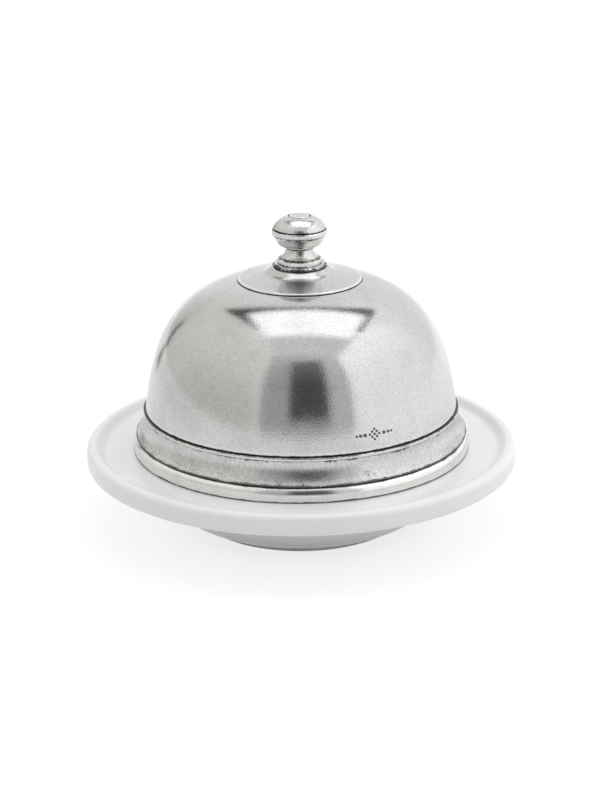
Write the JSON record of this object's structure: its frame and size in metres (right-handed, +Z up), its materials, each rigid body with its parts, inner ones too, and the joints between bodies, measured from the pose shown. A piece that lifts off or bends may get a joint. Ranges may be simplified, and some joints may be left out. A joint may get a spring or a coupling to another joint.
{
  "type": "covered butter dish",
  "caption": "Round butter dish: a domed pewter cover with a turned knob and moulded base lifts off a glazed stoneware dish with a raised lip, a well and a foot ring.",
  "frame": {"origin": "middle of the foot ring's standing face, on the table", "axes": "+Z up along the axis of the dish and its cover; the part is round, and -Y is the side that the picture shows"},
  "size_m": [0.165, 0.165, 0.12],
  "materials": {
    "glazed_stoneware": "glossy white glaze",
    "pewter_dome": "satin pewter",
    "pewter_band": "satin pewter with dark patina in the cove",
    "pewter_bead": "polished pewter",
    "pewter_crown": "satin pewter",
    "pewter_knob": "polished pewter",
    "steel_fastener": "plain steel"
  },
  "bodies": {
    "dish": {"dish": "glazed_stoneware"},
    "cover": {"dome_shell": "pewter_dome", "base_band": "pewter_band", "foot_bead": "pewter_bead", "crown_plate": "pewter_crown", "knob_stem": "pewter_knob", "knob_ball": "pewter_knob", "knob_button": "pewter_knob", "knob_screw": "steel_fastener", "screw_washer": "steel_fastener"}
  },
  "joints": [
    {"name": "cover_lift", "type": "slide", "parent": "dish", "child": "cover", "axis": [0, 0, 1], "range_m": [0, 0.12]}
  ]
}
